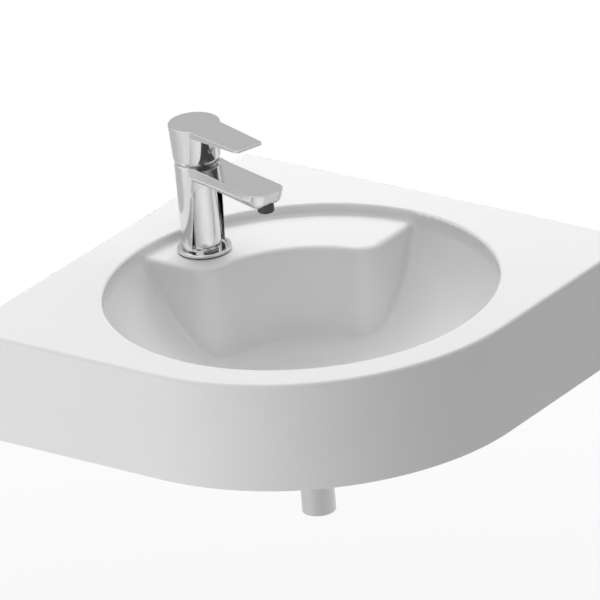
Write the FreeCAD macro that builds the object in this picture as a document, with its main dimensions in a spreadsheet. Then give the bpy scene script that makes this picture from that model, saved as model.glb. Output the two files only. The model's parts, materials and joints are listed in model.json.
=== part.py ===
import FreeCAD, Part

import math
import os
import re

import Sketcher

# Corner basin with a single-lever mixer and a push-open waste.
# Millimetres and degrees. The origin is the corner where the two walls meet, at the height of the basin's
# flat top. +Z is up, the walls are the planes X = 0 and Y = 0, and the basin lies towards +X and -Y.

SIZES = [
    ("margin", 1.0, "how far a cut runs past the faces that it opens"),
    # The basin's block
    ("side_length", 450.0, "each straight back edge of the basin, along its wall"),
    ("front_radius", 230.0, "round front corner, in plan"),
    ("skirt_height", 107.0, "height of the skirt"),
    ("china", 11.0, "thickness of the ceramic"),
    ("corner_radius", 4.0, "upright edges at the walls"),
    ("edge_radius", 3.5, "edge between the flat top and the skirt"),
    ("foot_radius", 2.0, "lower edge of the skirt"),
    # The bowl
    ("bowl_from_wall", 227.5, "from each wall to the bowl's axis"),
    ("bowl_radius", 184.6, "bowl at its rim"),
    ("rim_radius", 3.0, "rounded rim of the bowl"),
    ("lip_depth", 6.0, "upright stretch under the rim"),
    ("lip_curve", 25.0, "curve from the upright stretch into the side"),
    ("lip_slope", 67.4, "slope of the side under the lip"),
    ("side_curve", 165.0, "curve of the bowl's side"),
    ("foot_slope", 30.0, "slope where the side meets the floor"),
    ("floor_curve", 100.0, "curve of the floor's edge"),
    ("floor_slope", 3.0, "fall of the floor towards the drain"),
    # The tap ledge, a quarter of a ring in the corner between the walls
    ("ledge_drop", 10.5, "ledge below the flat top"),
    ("ledge_radius", 109.0, "curved front of the ledge, about the bowl's axis"),
    ("ledge_offset", 2.5, "from the bowl's axis to each flank of the ledge"),
    ("ledge_corner", 20.0, "corners of the ledge, in plan"),
    ("ledge_draft", 5.0, "lean of the ledge's walls"),
    ("ledge_edge", 6.0, "rounded upper edge of the ledge"),
    ("ledge_fillet", 5.0, "hollow where the ledge's front meets the floor"),
    # Drain and wall fixings
    ("drain_recess_radius", 34.0, "recess that the waste's flange lies in"),
    ("drain_recess_depth", 2.5, "depth of that recess"),
    ("drain_radius", 23.0, "drain hole"),
    ("drain_boss_radius", 38.0, "boss under the drain"),
    ("drain_boss_height", 28.0, "ceramic between the waste's flange and its nut"),
    ("fixing_radius", 8.0, "wall fixing holes"),
    ("fixing_first", 90.0, "from the corner to the first fixing hole"),
    ("fixing_spacing", 280.0, "from the first fixing hole to the second"),
    ("fixing_depth", 60.0, "fixing holes below the flat top"),
    ("tap_hole_radius", 17.5, "hole for the mixer"),
    # Where the mixer stands
    ("tap_from_bowl", 150.7, "from the bowl's axis to the mixer's axis"),
    ("tap_bearing", 17.2, "bearing of the mixer from the left flank, about the bowl's axis"),
    ("spout_angle", -16.5, "direction of the spout, from +X"),
    # Base ring and fixing of the mixer
    ("ring_radius", 25.6, "base ring"),
    ("ring_inside", 21.0, "crest of the base ring, inside"),
    ("ring_brow", 1.2, "rounded upper edge of the base ring"),
    ("ring_chamfer", 0.4, "lower edge of the base ring"),
    ("ring_height", 4.4, "base ring, crest above the ledge"),
    ("ring_land", 3.2, "seat of the column above the ledge"),
    ("base_seal", 1.0, "rubber under the base ring"),
    ("stud_spacing", 21.0, "between the two studs"),
    ("stud_radius", 3.0, "fixing studs"),
    ("stud_reach", 26.0, "studs below the ceramic"),
    ("stud_depth", 8.0, "studs inside the column"),
    ("shoe_radius", 23.0, "horseshoe washer"),
    ("shoe_slot", 13.0, "slot of the horseshoe washer, for the hoses"),
    ("shoe_rubber", 3.0, "horseshoe rubber"),
    ("shoe_plate", 2.5, "horseshoe washer, thickness"),
    ("nut_flats", 10.0, "stud nuts across flats"),
    ("nut_height", 8.0, "stud nuts"),
    # Column and spout
    ("column_foot_radius", 20.6, "column at its foot"),
    ("column_top_radius", 21.6, "column under the handle"),
    ("column_neck_radius", 18.8, "recessed foot of the column"),
    ("column_neck", 1.6, "height of the recessed foot"),
    ("column_chamfer", 0.5, "lower edge of the column"),
    ("core_foot_radius", 16.4, "sunk front of the column at its foot"),
    ("core_top_radius", 16.8, "sunk front of the column, under the spout"),
    ("arch_foot", 19.6, "half width of the sunk front at its foot"),
    ("arch_top", 17.2, "half width of the sunk front under the spout"),
    ("arch_corner", 11.0, "rounded corners of the arch over the sunk front"),
    ("arch_height", 74.0, "top of that arch above the ledge"),
    ("spout_top", 92.0, "top of the spout above the ledge"),
    ("spout_depth", 16.0, "spout, top to underside"),
    ("spout_reach", 114.8, "mixer's axis to the spout's tip"),
    ("spout_root", 20.5, "half width of the spout at the mixer's axis"),
    ("spout_waist", 17.2, "half width of the spout where its flare ends"),
    ("spout_flare", 42.0, "end of that flare in front of the axis"),
    ("flare_curve", 200.0, "hollow sides of the flare"),
    ("spout_tip", 18.0, "half width of the spout at its tip"),
    ("spout_corner", 10.0, "corners of the tip, in plan"),
    ("spout_belly", 8.5, "rounded lower edges of the spout"),
    ("spout_brow", 0.8, "rounded upper edges of the spout"),
    ("nose_lean", 16.0, "lean of the end face, back towards the column"),
    ("cap_gap", 0.3, "around the handle's foot and over the ball seat"),
    # Waterways
    ("cavity_radius", 14.8, "hollow foot of the column"),
    ("cavity_height", 30.0, "hollow foot of the column"),
    ("inlet_radius", 4.6, "threaded inlets"),
    ("inlet_depth", 10.0, "threaded inlets"),
    ("inlet_spacing", 16.4, "between the two inlets"),
    ("port_radius", 2.4, "ports under the cartridge"),
    ("port_back", 4.5, "inlet ports behind the axis"),
    ("port_side", 5.2, "inlet ports beside the axis"),
    ("port_front", 6.3, "outlet port in front of the axis"),
    ("gallery_wall", 0.7, "metal between the cartridge chamber and the outlet's run"),
    ("riser_radius", 1.3, "risers to the spout"),
    ("run_radius", 1.1, "level bores from the outlet port to the risers"),
    ("riser_front", 14.9, "middle riser in front of the axis"),
    ("riser_aside", 14.4, "outer risers in front of the axis"),
    ("riser_side", 3.6, "outer risers beside the axis"),
    ("waterway_radius", 4.0, "bore of the spout"),
    ("waterway_height", 84.0, "bore of the spout above the ledge"),
    # Aerator
    ("aerator_reach", 103.1, "mixer's axis to the aerator's axis"),
    ("aerator_radius", 7.8, "visible collar of the aerator"),
    ("aerator_drop", 6.0, "collar below the spout"),
    ("aerator_sink", 5.0, "collar inside the spout"),
    ("aerator_thread", 7.2, "thread of the aerator"),
    ("aerator_depth", 11.3, "collar and thread inside the spout"),
    ("aerator_wall", 0.9, "wall of the collar"),
    ("aerator_chamfer", 0.6, "lower edge of the collar"),
    ("aerator_seal", 1.5, "rubber ring over the aerator"),
    ("jet_radius", 0.7, "holes of the aerator's insert"),
    # Cartridge
    ("pivot_height", 68.5, "lever's pin above the ledge"),
    ("chamber_floor", 44.0, "floor of the cartridge chamber above the ledge"),
    ("cartridge_radius", 12.5, "cartridge"),
    ("cartridge_wall", 1.5, "wall of the cartridge"),
    ("cartridge_base", 3.0, "floor of the cartridge"),
    ("cartridge_top", 78.0, "top of the cartridge above the ledge"),
    ("lid_radius", 7.5, "opening in the cartridge's top, for the spindle"),
    ("slip", 0.1, "clearance round what slides or turns in the cartridge"),
    ("port_seal", 0.8, "seals under the cartridge"),
    ("seal_wall", 1.1, "seals under the cartridge, wall"),
    ("disc_height", 3.4, "each ceramic disc"),
    ("mixing_radius", 5.3, "pocket of the sliding disc, where the waters mix"),
    ("mixing_front", 1.0, "that pocket in front of the disc's middle"),
    ("carrier_radius", 8.9, "carrier and sliding disc"),
    ("carrier_height", 6.0, "carrier"),
    ("rotor_low", 6.3, "rotor below the lever's pin"),
    ("rotor_high", 7.2, "rotor above the lever's pin"),
    ("pin_radius", 1.5, "lever's pin"),
    ("fit", 0.05, "radial clearance of pieces that turn, slide or screw on one another"),
    ("spindle_width", 7.0, "square spindle"),
    ("spindle_length", 42.0, "spindle above the pin"),
    ("spindle_lean", 12.5, "spindle leans forward with the water shut off"),
    ("spindle_arm", 9.0, "pin to the spindle's ball"),
    ("spindle_ball", 2.3, "ball that pushes the carrier"),
    ("spindle_neck", 1.8, "neck above that ball"),
    ("nut_ring_radius", 13.0, "ring nut over the cartridge"),
    ("nut_ring_height", 8.0, "ring nut over the cartridge"),
    ("nut_ring_bore", 9.6, "ring nut over the cartridge"),
    # Dome and handle
    ("ball_radius", 30.5, "ball seat under the handle, about the pin"),
    ("column_height", 92.0, "flat top of the column above the ledge"),
    ("dome_bore", 11.0, "opening of the dome"),
    ("dome_radius", 19.0, "dome"),
    ("dome_skirt", 12.8, "dome inside the column"),
    ("handle_foot_radius", 20.5, "handle at its lower edge"),
    ("handle_bevel_radius", 22.3, "handle above its lower edge's bevel"),
    ("handle_bevel_height", 96.0, "top of that bevel above the ledge"),
    ("handle_top_radius", 24.6, "handle at its top"),
    ("handle_top", 130.0, "top of the handle above the ledge"),
    ("handle_brow", 1.2, "rounded upper edges of the handle"),
    ("handle_bore", 17.6, "hollow of the handle"),
    ("handle_roof", 12.0, "solid top of the handle"),
    ("hub_radius", 11.5, "hub that grips the spindle"),
    ("hub_front", 4.5, "hub in front of the axis"),
    ("lever_reach", 86.5, "mixer's axis to the lever's tip"),
    ("lever_root", 18.5, "half width of the lever at the handle"),
    ("lever_tip", 15.5, "half width of the lever at its tip"),
    ("lever_corner", 5.0, "corners of the lever's tip"),
    ("lever_thickness", 2.2, "lever at its tip"),
    ("lever_depth", 6.0, "lever at the handle"),
    ("lever_bend", 26.6, "from the axis to where the lever starts to thin"),
    ("grub_radius", 2.5, "grub screw"),
    ("grub_height", 107.5, "grub screw above the ledge"),
    ("grub_sunk", 1.5, "grub screw below the handle's surface"),
    ("grub_hex", 2.9, "socket of the grub screw, across corners"),
    # Waste
    ("flange_radius", 32.0, "flange of the waste"),
    ("flange_height", 2.4, "flange of the waste"),
    ("flange_brow", 1.0, "rounded edge of the flange"),
    ("waste_seal", 1.2, "rubber under the flange"),
    ("seal_inset", 1.0, "flat seals set back from the edges that they seal"),
    ("waste_mouth", 2.0, "funnel at the waste's mouth"),
    ("waste_radius", 20.9, "threaded tube of the waste"),
    ("waste_bore", 18.4, "bore of the waste"),
    ("waste_length", 72.0, "threaded tube below the flange"),
    ("guide_height", 9.0, "cross in the tube that holds the guide"),
    ("guide_drop", 12.0, "cross below the flange's seat"),
    ("arm_width", 3.0, "arms of the cross"),
    ("cross_hub", 5.6, "hub of the cross"),
    ("guide_radius", 3.9, "guide of the plug's spindle"),
    ("guide_head", 2.0, "head of the guide, on the cross"),
    ("push_radius", 2.2, "plug's spindle"),
    ("push_length", 30.0, "plug's spindle"),
    ("push_seat", 1.0, "plug's spindle inside the cap"),
    ("plug_radius", 31.0, "cap of the plug"),
    ("plug_edge", 2.2, "edge of the cap"),
    ("plug_crown", 5.4, "crown of the cap"),
    ("plug_gap", 0.5, "cap above the flange with the plug down"),
    ("plug_ring_radius", 17.6, "ring under the cap"),
    ("plug_ring_height", 4.4, "ring under the cap"),
    ("plug_wall", 1.5, "ring under the cap, and the rubber round it"),
    ("plug_lip", 1.6, "sealing lip beyond that rubber"),
    ("plug_lip_edge", 0.8, "edge of the sealing lip"),
    ("nut_rubber", 4.0, "rubber under the ceramic"),
    ("nut_plate", 1.6, "washer under that rubber"),
    ("plate_radius", 34.0, "washer under that rubber"),
    ("lock_nut_flats", 52.0, "lock nut across flats"),
    ("lock_nut_height", 8.0, "lock nut"),
    ("tail_radius", 16.0, "outlet pipe, outside"),
    ("tail_wall", 1.5, "outlet pipe"),
    ("tail_length", 46.0, "outlet pipe below the tube"),
    ("tail_socket", 6.0, "outlet pipe inside the tube"),
]

# Places that follow from the sizes, as formulas of them.
PLACES = {
    "lip_r": "bowl_radius - lip_curve",
    "lip_z": "0 - lip_depth",
    "side_r": "lip_r - (side_curve - lip_curve) * sin(lip_slope * 1 deg)",
    "side_z": "lip_z + (side_curve - lip_curve) * cos(lip_slope * 1 deg)",
    "floor_r": "side_r + (side_curve - floor_curve) * sin(foot_slope * 1 deg)",
    "floor_z": "side_z - (side_curve - floor_curve) * cos(foot_slope * 1 deg)",
    "floor_end_r": "floor_r + floor_curve * sin(floor_slope * 1 deg)",
    "floor_end_z": "floor_z - floor_curve * cos(floor_slope * 1 deg)",
    "drain_edge_z": "floor_end_z - (floor_end_r - drain_recess_radius) * tan(floor_slope * 1 deg)",
    "drain_seat": "drain_edge_z - drain_recess_depth",
    "ledge_top": "0 - ledge_drop",
    "ledge_under": "ledge_top - china",
    "tap_x": "bowl_from_wall - tap_from_bowl * cos(tap_bearing * 1 deg)",
    "tap_y": "tap_from_bowl * sin(tap_bearing * 1 deg) - bowl_from_wall",
    "spout_under": "spout_top - spout_depth",
    "shoulder": "pivot_height + sqrt(ball_radius ^ 2 - column_top_radius ^ 2)",
    "column_land": "sqrt(ball_radius ^ 2 - (column_height - pivot_height) ^ 2)",
    "socket_radius": "ball_radius + cap_gap",
    "pocket_radius": "column_top_radius + cap_gap",
    "pocket_floor": "pivot_height + sqrt(ball_radius ^ 2 - pocket_radius ^ 2)",
    "disc_low": "chamber_floor + port_seal + cartridge_base",
    "slide_low": "disc_low + disc_height + slip / 2",
    "carrier_low": "slide_low + disc_height",
    "ball_back": "spindle_arm * sin(spindle_lean * 1 deg)",
    "shoe_top": "0 - china",
    "plate_top": "shoe_top - shoe_rubber",
    "stud_nut_top": "plate_top - shoe_plate",
    "stud_x": "stud_spacing / 2",
    "inlet_y": "inlet_spacing / 2",
    "lever_under": "handle_top - lever_depth",
    "outlet_low": "chamber_floor - gallery_wall - 2 * riser_radius",
    "aerator_top": "spout_under + aerator_depth",
    "spindle_face": "(grub_height + grub_radius - pivot_height) * tan(spindle_lean * 1 deg)"
                    " + spindle_width / 2 / cos(spindle_lean * 1 deg)",
    "grub_in": "spindle_face + slip",
    "grub_out": "handle_bevel_radius - grub_sunk",
    "flange_top": "waste_seal + flange_height",
    "tube_end": "0 - waste_length",
    "boss_end": "0 - drain_boss_height",
    "lock_plate_top": "boss_end - nut_rubber",
    "lock_nut_top": "lock_plate_top - nut_plate",
    "cross_top": "0 - guide_drop",
    "cross_end": "cross_top - guide_height",
    "plug_under": "flange_top + plug_gap",
    "crown_rise": "plug_crown - plug_edge",
    "crown_curve": "(plug_radius ^ 2 + crown_rise ^ 2) / 2 / crown_rise",
}

# Frames: the room's corner, the bowl's axis at the drain, the mixer's axis on the ledge (+X along the
# spout), the aerator's axis, and the lever's pin with +Z along the spindle.
ROOM = "placement(vector(0; 0; 0); rotation(0; 0; 0))"
BOWL = "placement(vector(bowl_from_wall; 0 - bowl_from_wall; 0); rotation(0; 0; 0))"
DRAIN = "placement(vector(bowl_from_wall; 0 - bowl_from_wall; drain_seat); rotation(0; 0; 0))"
TAP = "placement(vector(tap_x; tap_y; ledge_top); rotation(spout_angle; 0; 0))"
AERATOR = (
    "placement(vector(tap_x + aerator_reach * cos(spout_angle * 1 deg);"
    " tap_y + aerator_reach * sin(spout_angle * 1 deg); ledge_top); rotation(spout_angle; 0; 0))"
)
PIN = "placement(vector(tap_x; tap_y; ledge_top + pivot_height); rotation(spout_angle; spindle_lean; 0))"

PARTS_FOLDER = "parts"
HEX_ANGLES = [0, 60, 120, 180, 240, 300]
UPRIGHT = 0.9  # an edge that rises more steeply than this counts as upright
TOUCH = 0.01  # places closer than this are the same
JET_RINGS = [(6, 0.3), (12, 0.6), (18, 0.86)]  # holes of the aerator: how many, how far out

doc = FreeCAD.newDocument("corner_basin")
sheet = doc.addObject("Spreadsheet::Sheet", "sizes")
for row, (name, size, note) in enumerate(SIZES, start=1):
    sheet.set("A%d" % row, note)
    sheet.set("B%d" % row, repr(size))
    sheet.setAlias("B%d" % row, name)
doc.recompute()
NAMES = {name for name, size, note in SIZES}
nodes = []


def spell(text):
    """Write a formula out: places as their own formulas, sizes as cells of the sheet."""
    def word(match):
        name = match.group(0)
        if name in PLACES:
            return "(" + spell(PLACES[name]) + ")"
        return "sizes." + name if name in NAMES else name
    return re.sub(r"[a-z][a-z_]*", word, str(text))


def number(text):
    return float(sheet.evalExpression(spell(text)))


# ---- Bodies, sketches and features -------------------------------------------------------------------

def new_body(label, frame):
    body = doc.addObject("PartDesign::Body", label)
    body.Label = label
    body.setExpression(".Placement", spell(frame))
    return body


def keep(piece):
    """Mark a finished piece as a node of its own."""
    nodes.append(piece)
    return piece


def origin(body, role):
    return next(item for item in body.Origin.OriginFeatures if item.Role == role)


def new_sketch(body, name, role, height="0"):
    sketch = body.newObject("Sketcher::SketchObject", name)
    sketch.AttachmentSupport = [(origin(body, role), "")]
    sketch.MapMode = "FlatFace"
    sketch.setExpression("AttachmentOffset.Base.z", spell(height))
    return sketch


def tie(sketch, kind, geometry, spot, text):
    """Hold a point of the sketch at a distance from the origin, along X or Y."""
    if str(text) == "0":
        axis = -2 if kind == "DistanceX" else -1
        sketch.addConstraint(Sketcher.Constraint("PointOnObject", geometry, spot, axis))
        return
    sketch.addConstraint(Sketcher.Constraint(kind, -1, 1, geometry, spot, number(text)))
    sketch.setExpression("Constraints[%d]" % (sketch.ConstraintCount - 1), spell(text))


def arc_between(start, end, radius):
    """The shorter arc, its centre on the left of the way for a positive radius."""
    chord = end - start
    to_left = FreeCAD.Vector(-chord.y, chord.x, 0).normalize()
    rise = math.sqrt(max(radius ** 2 - (chord.Length / 2) ** 2, 0.0))
    centre = (start + end) / 2 + to_left * math.copysign(rise, radius)
    first, last = (start, end) if radius > 0 else (end, start)
    angles = [math.atan2(spot.y - centre.y, spot.x - centre.x) for spot in (first, last)]
    circle = Part.Circle(centre, FreeCAD.Vector(0, 0, 1), abs(radius))
    return Part.ArcOfCircle(circle, angles[0], angles[1])


def draw(sketch, outline):
    """A closed outline of corners (x, y). A third value makes the side that arrives there an arc of that
    radius, with its centre on the left of the way, or on the right where it starts with a minus."""
    spots = [FreeCAD.Vector(number(corner[0]), number(corner[1]), 0) for corner in outline]
    first = sketch.GeometryCount
    ends = []
    for place, corner in enumerate(outline):
        start = spots[place - 1]
        if len(corner) == 2:
            sketch.addGeometry(Part.LineSegment(start, spots[place]), False)
            ends.append((1, 2))
            continue
        turns_right = corner[2].startswith("-")
        radius = number(corner[2].lstrip("-"))
        sketch.addGeometry(arc_between(start, spots[place], -radius if turns_right else radius), False)
        ends.append((2, 1) if turns_right else (1, 2))
    for place, corner in enumerate(outline):
        after = (place + 1) % len(outline)
        sketch.addConstraint(Sketcher.Constraint(
            "Coincident", first + place, ends[place][1], first + after, ends[after][0]))
        tie(sketch, "DistanceX", first + place, ends[place][1], corner[0])
        tie(sketch, "DistanceY", first + place, ends[place][1], corner[1])
        if len(corner) == 3:
            radius = corner[2].lstrip("-")
            sketch.addConstraint(Sketcher.Constraint("Radius", first + place, number(radius)))
            sketch.setExpression("Constraints[%d]" % (sketch.ConstraintCount - 1), spell(radius))


def ring(sketch, x, y, radius):
    """A circle about (x, y)."""
    centre = FreeCAD.Vector(number(x), number(y), 0)
    circle = sketch.addGeometry(Part.Circle(centre, FreeCAD.Vector(0, 0, 1), number(radius)), False)
    if str(x) == "0" and str(y) == "0":
        sketch.addConstraint(Sketcher.Constraint("Coincident", circle, 3, -1, 1))
    else:
        tie(sketch, "DistanceX", circle, 3, x)
        tie(sketch, "DistanceY", circle, 3, y)
    sketch.addConstraint(Sketcher.Constraint("Radius", circle, number(radius)))
    sketch.setExpression("Constraints[%d]" % (sketch.ConstraintCount - 1), spell(radius))


def hexagon(across_flats):
    half = "(%s) / 2 / cos(30 deg)" % across_flats
    return [("%s * cos(%d deg)" % (half, angle), "%s * sin(%d deg)" % (half, angle)) for angle in HEX_ANGLES]


def box(half_x, half_y):
    """A rectangle about the origin."""
    return [("0 - " + half_x, "0 - " + half_y), (half_x, "0 - " + half_y), (half_x, half_y),
            ("0 - " + half_x, half_y)]


def turn(body, name, outline, kind="PartDesign::Revolution"):
    """Turn an outline of (radius, height) corners about the body's Z axis; a Groove cuts it away."""
    sketch = new_sketch(body, name + "_outline", "XZ_Plane")
    draw(sketch, outline)
    feature = body.newObject(kind, name)
    feature.Profile = sketch
    feature.ReferenceAxis = (sketch, ["V_Axis"])
    feature.Angle = 360
    sketch.Visibility = False
    doc.recompute()
    return feature


def extrude(body, name, sketch, length, kind="PartDesign::Pad", reverse=False):
    feature = body.newObject(kind, name)
    feature.Profile = sketch
    feature.setExpression("Length", spell(length))
    feature.Reversed = reverse
    doc.recompute()
    return feature


def pad(body, name, role, outline, length, height="0"):
    sketch = new_sketch(body, name + "_outline", role, height)
    draw(sketch, outline)
    return extrude(body, name, sketch, length)


def bore(body, name, circles, low, high, role="XY_Plane"):
    """Cut round holes along the plane's normal, from one height to another."""
    sketch = new_sketch(body, name + "_outline", role, low)
    for x, y, radius in circles:
        ring(sketch, x, y, radius)
    return extrude(body, name, sketch, "(%s) - (%s)" % (high, low), "PartDesign::Pocket", reverse=True)


def round_edges(body, name, base, radius, wanted, kind="PartDesign::Fillet"):
    """Round the edges of the base feature whose middle point and direction are wanted."""
    picked = []
    for index, edge in enumerate(base.Shape.Edges, start=1):
        middle = (edge.FirstParameter + edge.LastParameter) / 2
        if wanted(edge.valueAt(middle), edge.tangentAt(middle)):
            picked.append("Edge%d" % index)
    feature = body.newObject(kind, name)
    feature.Base = (base, picked)
    feature.setExpression("Radius" if kind.endswith("Fillet") else "Size", spell(radius))
    doc.recompute()
    return feature


def near(first, second):
    return abs(first - second) < TOUCH


def cut_away(body, name, tool):
    feature = body.newObject("PartDesign::Boolean", name)
    feature.setObjects([tool])
    feature.Type = "Cut"
    doc.recompute()
    return feature


def turned(label, frame, outline):
    """A whole piece turned about one axis."""
    body = new_body(label, frame)
    turn(body, label + "_turned", outline)
    return keep(body)


# ---- Basin -------------------------------------------------------------------------------------------

def block_outline(inset):
    """The basin in plan, a given distance inside its faces."""
    far = "side_length - (%s)" % inset
    straight = "side_length - front_radius"
    return [
        (inset, "0 - (%s)" % inset),
        (inset, "0 - (%s)" % far),
        (straight, "0 - (%s)" % far),
        (far, "0 - (%s)" % straight, "front_radius - (%s)" % inset),
        (far, "0 - (%s)" % inset),
    ]


def bowl_curves(extra):
    """The bowl's section from its upright lip to the end of the floor's curve, grown by extra."""
    return [
        ("bowl_radius + %s" % extra, "lip_z"),
        ("side_r + (side_curve + %s) * sin(lip_slope * 1 deg)" % extra,
         "side_z - (side_curve + %s) * cos(lip_slope * 1 deg)" % extra, "-(lip_curve + %s)" % extra),
        ("side_r + (side_curve + %s) * sin(foot_slope * 1 deg)" % extra,
         "side_z - (side_curve + %s) * cos(foot_slope * 1 deg)" % extra, "-(side_curve + %s)" % extra),
        ("floor_r + (floor_curve + %s) * sin(floor_slope * 1 deg)" % extra,
         "floor_z - (floor_curve + %s) * cos(floor_slope * 1 deg)" % extra, "-(floor_curve + %s)" % extra),
    ]


def ledge_outline(inset, outer):
    """The ledge in plan about the bowl's axis: two flanks, rounded corners and a curved front."""
    flank = "(ledge_offset + %s)" % inset
    front = "(ledge_radius + %s)" % inset
    corner = "(ledge_corner - %s)" % inset
    reach = "sqrt((%s + %s) ^ 2 - (%s + %s) ^ 2)" % (front, corner, flank, corner)
    share = "(%s / (%s + %s))" % (front, front, corner)
    back = "((%s + %s) * %s)" % (flank, corner, share)
    side = "(%s * %s)" % (reach, share)
    return [
        ("0 - " + flank, outer),
        ("0 - " + flank, reach),
        ("0 - " + back, side, "-" + corner),
        ("0 - " + side, back, front),
        ("0 - " + reach, flank, "-" + corner),
        ("0 - (%s)" % outer, flank),
        ("0 - (%s)" % outer, outer),
    ]


def drafted_ledge(body, name, inset, outer, top, depth):
    """The ledge's plan carried down from its top, its walls leaning outwards on the way."""
    spread = "(%s) * tan(ledge_draft * 1 deg)" % depth
    upper = new_sketch(body, name + "_upper", "XY_Plane", top)
    draw(upper, ledge_outline(inset, outer))
    lower = new_sketch(body, name + "_lower", "XY_Plane", "%s - (%s)" % (top, depth))
    draw(lower, ledge_outline("(%s - %s)" % (inset, spread), outer))
    loft = body.newObject("PartDesign::AdditiveLoft", name)
    loft.Profile = upper
    loft.Sections = [lower]
    loft.Ruled = True
    doc.recompute()
    return loft


def ledge_block():
    """The quarter ring that stands in the bowl, from under the floor to the ledge's top."""
    body = new_body("ledge_block", ROOM)
    block = drafted_ledge(body, "ledge_raised", "0", "bowl_radius + china", "ledge_top",
                          "ledge_top - floor_end_z")
    top = number("ledge_top")
    reach = number("bowl_radius + china")
    margin = number("margin")
    round_edges(body, "ledge_brow", block, "ledge_edge",
                lambda spot, way: near(spot.z, top) and max(-spot.x, spot.y) < reach - margin)
    return body


def bowl_void():
    """All that is open in the bowl: the round bowl less the ledge, and the drain."""
    body = new_body("bowl_void", BOWL)
    above = "rim_radius"
    floor_end = bowl_curves("0")[-1]
    outline = [
        ("0", above),
        ("bowl_radius + rim_radius", above),
        ("bowl_radius + rim_radius", "0"),
        ("bowl_radius", "0 - rim_radius", "rim_radius"),
    ]
    outline += bowl_curves("0")
    outline += [
        ("drain_recess_radius", "drain_edge_z"),
        ("drain_recess_radius", "drain_seat"),
        ("drain_radius", "drain_seat"),
        ("drain_radius", "drain_seat - drain_boss_height - margin"),
        ("0", "drain_seat - drain_boss_height - margin"),
    ]
    turn(body, "bowl_round", outline)
    void = cut_away(body, "ledge_kept", ledge_block())
    lip = -number("lip_depth + ledge_drop")
    around = number("floor_end_r + margin")
    aside = number("2 * margin")
    round_edges(body, "ledge_foot", void, "ledge_fillet",
                lambda spot, way: spot.z < lip and spot.x < aside and spot.y > -aside
                and math.hypot(spot.x, spot.y) > around and abs(way.z) < UPRIGHT)
    return body


def ledge_hollow():
    """The open underside of the ledge, where the mixer's nuts are reached."""
    body = new_body("ledge_hollow", BOWL)
    drafted_ledge(body, "hollow_raised", "china", "(bowl_from_wall - china)", "ledge_under", "skirt_height")
    return body


def basin():
    body = new_body("basin", ROOM)
    block = pad(body, "block", "XY_Plane", block_outline("0"), "skirt_height", "0 - skirt_height")
    side = number("side_length")
    corners = [(0, 0), (0, -side), (side, 0)]
    uprights = round_edges(body, "uprights", block, "corner_radius",
                           lambda spot, way: abs(way.z) > UPRIGHT and any(
                               near(spot.x, x) and near(spot.y, y) for x, y in corners))
    brow = round_edges(body, "brow", uprights, "edge_radius", lambda spot, way: near(spot.z, 0))
    bottom = -number("skirt_height")
    round_edges(body, "foot", brow, "foot_radius", lambda spot, way: near(spot.z, bottom))
    sketch = new_sketch(body, "underside_outline", "XY_Plane", "0 - skirt_height")
    draw(sketch, block_outline("china"))
    extrude(body, "underside", sketch, "skirt_height - china", "PartDesign::Pocket", reverse=True)
    shell = new_body("bowl_shell", BOWL)
    outline = [("0", "0 - china / 2"), ("bowl_radius + china", "0 - china / 2")]
    outline += bowl_curves("china")
    outline += [
        ("drain_boss_radius", "drain_edge_z - china"),
        ("drain_boss_radius", "drain_seat - drain_boss_height"),
        ("0", "drain_seat - drain_boss_height"),
    ]
    turn(shell, "bowl_grown", outline)
    joined = body.newObject("PartDesign::Boolean", "bowl_joined")
    joined.setObjects([shell])
    joined.Type = "Fuse"
    cut_away(body, "bowl_opened", bowl_void())
    cut_away(body, "ledge_opened", ledge_hollow())
    bore(body, "tap_hole", [("tap_x", "tap_y", "tap_hole_radius")],
         "ledge_under - margin", "ledge_top + margin")
    holes = ["fixing_first", "fixing_first + fixing_spacing"]
    bore(body, "right_fixings", [(hole, "0 - fixing_depth", "fixing_radius") for hole in holes],
         "0 - margin", "china + margin", "XZ_Plane")
    bore(body, "left_fixings", [("0 - (%s)" % hole, "0 - fixing_depth", "fixing_radius") for hole in holes],
         "0 - margin", "china + margin", "YZ_Plane")
    return keep(body)


# ---- Waste -------------------------------------------------------------------------------------------

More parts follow.
